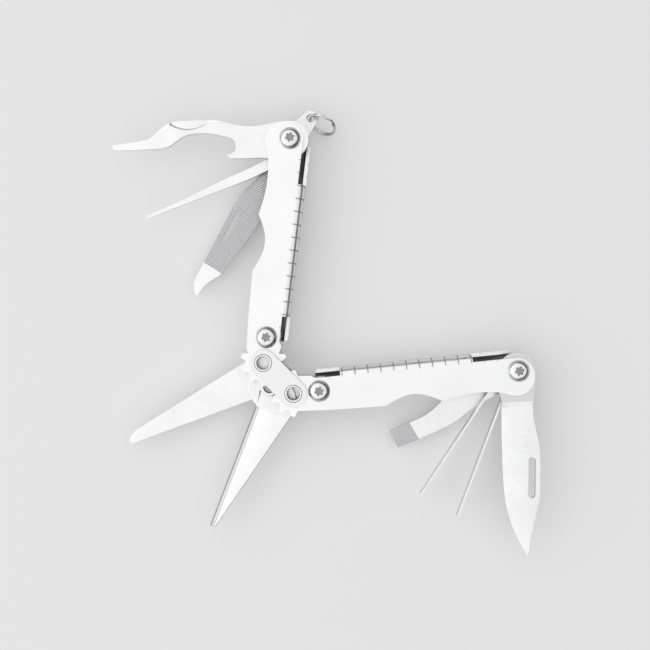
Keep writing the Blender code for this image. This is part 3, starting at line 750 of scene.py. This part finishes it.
class MULTITOOL_OT_opener(bpy.types.Operator):
    """Finish the bottle opener and thin its screwdriver tip"""
    bl_idname = "multi_tool.opener"
    bl_label = "Bottle opener"

    def execute(self, context):
        sizes = context.scene.multi_tool_sizes
        node, place = "bottle_opener", tool_place("opener_fold", LEFT)
        low, high = levels(node)
        bm = cad_copy(node, place)
        root, tip = 33 * MM, 43.8 * MM
        soften(bm, sizes.tool_round * 1.6, 3)
        self.nail_nick(bm, high)
        slice_grid(bm, 1.2 * MM, (root, tip), (-0.5 * MM, 0.5 * MM))
        taper(bm, root, tip, 0.6, low, high)
        finish_tool(bm, node, [stock(node + "_brushed", place, False)], place)
        return {"FINISHED"}

    def nail_nick(self, bm, high):
        """A crescent pressed into the back, steep at its arc and running out at the edge."""
        start, stop, deepest, sagitta = 20.3, 29.3, 3.13, 1.37
        wall, run_out, pressed = 0.36, 1.1, 0.5 * MM
        middle, half = (start + stop) / 2, (stop - start) / 2
        slice_grid(bm, 0.18 * MM, (start * MM, stop * MM), (-4.9 * MM, -3.1 * MM))
        for vert in bm.verts:
            x, depth = vert.co.x / MM, -vert.co.y / MM
            if vert.co.z < high - 0.3 * MM or not start < x < stop:
                continue
            inside = depth - deepest - sagitta * ((x - middle) / half) ** 2
            vert.co.z -= pressed * ease(inside / wall) * (1 - 0.5 * ease((inside - wall) / run_out))


class MULTITOOL_OT_pick(bpy.types.Operator):
    """Taper the pick"""
    bl_idname = "multi_tool.pick"
    bl_label = "Pick"

    def execute(self, context):
        sizes = context.scene.multi_tool_sizes
        node, place = "pick", tool_place("pick_fold", LEFT)
        low, high = levels(node)
        bm = cad_copy(node, place)
        root, tip = 8 * MM, 40.5 * MM
        soften(bm, sizes.tool_round, 2)
        slice_grid(bm, 3 * MM, (root, tip), (-0.4 * MM, 0.4 * MM))
        taper(bm, root, tip, 0.6, low, high)
        finish_tool(bm, node, [stock(node + "_brushed", place, False)], place)
        return {"FINISHED"}


class MULTITOOL_OT_file(bpy.types.Operator):
    """Cut the nail file's faces and polish its cleaner tip"""
    bl_idname = "multi_tool.nail_file"
    bl_label = "Nail file"

    def execute(self, context):
        finishes = context.scene.multi_tool_finishes
        sizes = context.scene.multi_tool_sizes
        node, place = "nail_file", tool_place("nail_file_fold", LEFT)
        low, high = levels(node)
        bm = cad_copy(node, place)
        start, stop, depth, half_cut, skin = 4.6 * MM, 36.4 * MM, 0.09 * MM, 0.16 * MM, 0.02 * MM
        root, tip = stop + 0.6 * MM, 45 * MM
        slice_at(bm, (root, 0, 0), (1, 0, 0))
        soften(bm, sizes.tool_round, 2)
        count = int((stop - start) / sizes.file_pitch)
        grooves = [start + sizes.file_pitch * i for i in range(count)]
        for x in grooves:
            for shift in (-half_cut, 0, half_cut):
                slice_at(bm, (x + shift, 0, 0), (1, 0, 0))
        for vert in bm.verts:
            nearest = round((vert.co.x - start) / sizes.file_pitch)
            if not 0 <= nearest < count or abs(vert.co.x - grooves[nearest]) > 0.01 * MM:
                continue
            if vert.co.z > high - skin:
                vert.co.z -= depth
            elif vert.co.z < low + skin:
                vert.co.z += depth
        for face in bm.faces:
            middle = face.calc_center_median()
            if start < middle.x < stop + 0.3 * MM and abs(face.normal.z) > 0.5:
                face.material_index = SECOND
        taper(bm, root, tip, 0.45, low, high)
        cut = filed_steel(node + "_cut", finishes.file_colour, 0.34, place)
        finish_tool(bm, node, [stock(node + "_brushed", place), cut], place, 25)
        return {"FINISHED"}


class MULTITOOL_OT_driver(bpy.types.Operator):
    """Grind the flat screwdriver's tip"""
    bl_idname = "multi_tool.driver"
    bl_label = "Flat screwdriver"

    def execute(self, context):
        finishes = context.scene.multi_tool_finishes
        sizes = context.scene.multi_tool_sizes
        node, place = "flat_screwdriver", tool_place("screwdriver_fold", RIGHT)
        low, high = levels(node)
        bm = cad_copy(node, place)
        root, tip = 29.3 * MM, 34.9 * MM
        slice_at(bm, (root, 0, 0), (1, 0, 0))
        taper(bm, root, tip, 0.6, low, high)
        for face in bm.faces:
            if face.calc_center_median().x > root and abs(face.normal.z) > 0.5:
                face.material_index = SECOND
        soften(bm, sizes.tool_round, 2)
        ground = brushed_steel(node + "_ground", finishes.ground_colour, 0.3, place)
        finish_tool(bm, node, [stock(node + "_brushed", place), ground], place)
        return {"FINISHED"}


class MULTITOOL_OT_tweezers(bpy.types.Operator):
    """Finish the tweezers' two arms"""
    bl_idname = "multi_tool.tweezers"
    bl_label = "Tweezers"

    def execute(self, context):
        open_limit, strip_round = 160, 0.06 * MM
        place = tool_place("tweezer_fold", RIGHT, open_limit)
        for node in ("tweezer_inner_arm", "tweezer_outer_arm"):
            bm = cad_copy(node, place)
            soften(bm, strip_round, 2)
            finish_tool(bm, node, [stock(node + "_brushed", place, False)], place)
        return {"FINISHED"}


class MULTITOOL_OT_knife(bpy.types.Operator):
    """Grind the knife blade flat from its back to its edge"""
    bl_idname = "multi_tool.knife"
    bl_label = "Knife blade"

    def execute(self, context):
        finishes = context.scene.multi_tool_finishes
        sizes = context.scene.multi_tool_sizes
        node, place = "knife_blade", tool_place("knife_fold", RIGHT)
        low, high = levels(node)
        bm = cad_copy(node, place)
        edge = rim(bm, -1)
        soften(bm, sizes.tool_round, 2, 60)
        plunge, run, tip, edge_share = 7.7 * MM, 1.2 * MM, 45.6 * MM, 0.14
        slice_grid(bm, 1.1 * MM, (plunge, tip), (-4.2 * MM, 4.9 * MM))
        slice_at(bm, (plunge + run, 0, 0), (1, 0, 0))

        def share(x, y):
            ground = edge_share + (1 - edge_share) * ease((y - edge(x)) / sizes.knife_grind) ** 0.8
            blend = ease((x - plunge) / run)
            return 1 - blend * (1 - ground)

        thin(bm, share, low, high)
        # The ricasso faces get satin steel in a darker tone of the blade colour: the satin grain is a real
        # finish, the darker tone is painted shade.
        for face in bm.faces:
            if face.calc_center_median().x < plunge and abs(face.normal.z) > 0.5:
                face.material_index = SECOND
        flat = satin_steel(node + "_ricasso_shaded", tone(finishes.blade_colour, 0.8), 0.36, place)
        finish_tool(bm, node, [stock(node + "_brushed", place), flat], place, sharp=30)
        return {"FINISHED"}


class MULTITOOL_OT_key_ring(bpy.types.Operator):
    """Coil the split key ring and finish its lug"""
    bl_idname = "multi_tool.key_ring"
    bl_label = "Key ring and lug"

    def execute(self, context):
        finishes = context.scene.multi_tool_finishes
        sizes = context.scene.multi_tool_sizes
        bm = cad_copy("key_ring_lug", UNTURNED)
        soften(bm, sizes.tool_round, 2)
        lug = satin_steel("lug_satin", finishes.screw_colour, 0.34)
        finish_tool(bm, "key_ring_lug", [lug], UNTURNED)
        self.ring(finishes, sizes)
        return {"FINISHED"}

    def ring(self, finishes, sizes):
        """Two close turns of wire joined by a jog, with square ends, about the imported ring's own axis."""
        verts = [vert.co.copy() for vert in frame["nodes"]["key_ring"].data.vertices]
        centre = sum(verts, Vector()) / len(verts)
        farthest = max(verts, key=lambda co: (co - centre).length)
        reach = (farthest - centre).length
        first = (farthest - centre).normalized()
        normal = Vector((0, 0, 0))
        for co in verts:
            turn = first.cross(co - centre)
            normal += turn if turn.dot(normal) >= 0 else -turn
        normal.normalize()
        wire, inset = sizes.ring_wire, 0.5 * MM
        flat_turn, jog = 325, 30
        bm = bmesh.new()
        circle = bmesh.ops.create_circle(bm, segments=12, radius=wire, cap_ends=False)["verts"]
        bmesh.ops.rotate(bm, verts=circle, cent=(0, 0, 0), matrix=Matrix.Rotation(math.pi / 2, 3, "X"))
        bmesh.ops.translate(bm, verts=circle, vec=(reach - inset, 0, -wire))
        last = circle + list({edge for vert in circle for edge in vert.link_edges})
        for degrees, climb in ((flat_turn, 0), (jog, 2 * wire), (flat_turn, 0)):
            steps = max(6, round(sizes.ring_steps * degrees / 360))
            last = bmesh.ops.spin(bm, geom=last, axis=(0, 0, 1), cent=(0, 0, 0), dvec=(0, 0, climb / steps),
                                  angle=math.radians(degrees), steps=steps, use_merge=False)["geom_last"]
        ends = [edge for edge in bm.edges if edge.is_boundary]
        bmesh.ops.holes_fill(bm, edges=ends, sides=0)
        lean = normal.to_track_quat("Z", "X").to_matrix().to_4x4()
        place = Matrix.Translation(centre) @ lean
        steel = satin_steel("ring_wire", finishes.wire_colour, 0.22)
        finish_piece(bm, "key_ring_coil", "key_ring", [steel], place, "key_ring", 50)


class MULTITOOL_OT_inner_hardware(bpy.types.Operator):
    """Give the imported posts, spacers and washer their turned steel"""
    bl_idname = "multi_tool.inner_hardware"
    bl_label = "Posts and spacers"

    def execute(self, context):
        finishes = context.scene.multi_tool_finishes
        for name, node in frame["nodes"].items():
            if not any(word in name for word in ("post", "spacer", "washer")):
                continue
            steel = turned_steel(name + "_turned", finishes.screw_colour, 0.3, plan_centre(name))
            node.data.materials.clear()
            node.data.materials.append(steel)
        return {"FINISHED"}


class MULTITOOL_OT_stage(bpy.types.Operator):
    """Set the pale floor, the soft light and the camera"""
    bl_idname = "multi_tool.stage"
    bl_label = "Stage"

    def execute(self, context):
        stage = context.scene.multi_tool_stage
        self.floor(stage)
        self.surround(context, stage)
        middle = Vector((*stage.camera_centre, 0))
        down = Vector((0, 0, -1))
        right = Vector((math.cos(stage.camera_roll), math.sin(stage.camera_roll), 0))
        overhead = middle + Vector((0, 0, stage.panel_height)) - right * stage.panel_shift
        self.panel("overhead_panel", overhead, down, stage.panel_size, stage.panel_power)
        low_side = middle + Vector(stage.side_place)
        self.panel("side_panel", low_side, middle - low_side, stage.side_size, stage.side_power)
        self.camera(context, stage, middle)
        return {"FINISHED"}

    def floor(self, stage):
        """A wide pale floor at the rest plane."""
        bm = bmesh.new()
        bmesh.ops.create_grid(bm, x_segments=1, y_segments=1, size=3)
        mesh = bpy.data.meshes.new("floor")
        bm.to_mesh(mesh)
        bm.free()
        floor = bpy.data.objects.new("floor", mesh)
        floor.location.z = CAD_BOX[0].z - 0.01 * MM
        bpy.context.collection.objects.link(floor)
        finish = Finish("pale_floor")
        finish.shade(Base_Color=(*stage.floor_colour, 1), Roughness=0.8, Specular_IOR_Level=0.2,
                     Emission_Color=(1, 1, 1, 1), Emission_Strength=stage.floor_glow)
        mesh.materials.append(finish.material)

    def surround(self, context, stage):
        """A grey surround that darkens to the view's right, for the edges to reflect."""
        world = bpy.data.worlds.new("surround")
        world.use_nodes = True
        nodes = Nodes(world.node_tree)
        right = (math.cos(stage.camera_roll), math.sin(stage.camera_roll), 0)
        outward = nodes.add("ShaderNodeTexCoord")
        lean = nodes.add("ShaderNodeVectorMath", {"operation": "DOT_PRODUCT"}, outlet=1, Vector=outward,
                         second=right)
        fade = nodes.add("ShaderNodeMapRange", Value=lean, From_Min=-0.9, From_Max=0.5, To_Min=stage.sky,
                         To_Max=0.03)
        background = world.node_tree.nodes["Background"]
        join(world.node_tree, background.inputs["Color"], (1, 1, 1, 1))
        join(world.node_tree, background.inputs["Strength"], fade)
        context.scene.world = world
        context.scene.view_settings.view_transform = "Standard"

    def panel(self, name, place, aim, size, power):
        """A square soft light."""
        light = bpy.data.lights.new(name, "AREA")
        light.shape = "SQUARE"
        light.size = size
        light.energy = power
        lamp = bpy.data.objects.new(name, light)
        lamp.location = place
        lamp.rotation_euler = aim.to_track_quat("-Z", "Y").to_euler()
        bpy.context.collection.objects.link(lamp)

    def camera(self, context, stage, middle):
        """Straight down, turned about its own line of view."""
        data = bpy.data.cameras.new("camera")
        data.lens = data.sensor_width * stage.camera_height / stage.field
        data.clip_start = 0.01
        data.clip_end = 20
        camera = bpy.data.objects.new("camera", data)
        camera.location = (middle.x, middle.y, MID_HEIGHT + stage.camera_height)
        camera.rotation_euler = (0, 0, stage.camera_roll)
        bpy.context.collection.objects.link(camera)
        context.scene.camera = camera


OPERATORS = (MULTITOOL_OT_stage, MULTITOOL_OT_handles, MULTITOOL_OT_links, MULTITOOL_OT_eyelets,
             MULTITOOL_OT_screws, MULTITOOL_OT_scissors, MULTITOOL_OT_opener, MULTITOOL_OT_pick,
             MULTITOOL_OT_file, MULTITOOL_OT_driver, MULTITOOL_OT_tweezers, MULTITOOL_OT_knife,
             MULTITOOL_OT_key_ring, MULTITOOL_OT_inner_hardware)


class MULTITOOL_PT_panel(bpy.types.Panel):
    """Lists the multi tool's settings and pieces"""
    bl_idname = "MULTITOOL_PT_panel"
    bl_label = "Multi tool"
    bl_space_type = "VIEW_3D"
    bl_region_type = "UI"
    bl_category = "Multi tool"

    def draw(self, context):
        scene = context.scene
        for group in (scene.multi_tool_finishes, scene.multi_tool_sizes, scene.multi_tool_stage):
            box = self.layout.box()
            for name in group.__annotations__:
                box.prop(group, name)
        for operator in OPERATORS:
            self.layout.operator(operator.bl_idname)


CLASSES = (MultiToolFinishes, MultiToolSizes, MultiToolStage, *OPERATORS, MULTITOOL_PT_panel)


def register():
    """Register the classes and their settings."""
    for item in CLASSES:
        bpy.utils.register_class(item)
    bpy.types.Scene.multi_tool_finishes = PointerProperty(type=MultiToolFinishes)
    bpy.types.Scene.multi_tool_sizes = PointerProperty(type=MultiToolSizes)
    bpy.types.Scene.multi_tool_stage = PointerProperty(type=MultiToolStage)


def unregister():
    """Remove the settings and the classes."""
    del bpy.types.Scene.multi_tool_stage
    del bpy.types.Scene.multi_tool_sizes
    del bpy.types.Scene.multi_tool_finishes
    for item in reversed(CLASSES):
        bpy.utils.unregister_class(item)


def main():
    """Build everything."""
    register()
    for operator in OPERATORS:
        group, name = operator.bl_idname.split(".")
        getattr(getattr(bpy.ops, group), name)()
    bpy.context.view_layer.update()


if __name__ == "__main__":
    main()
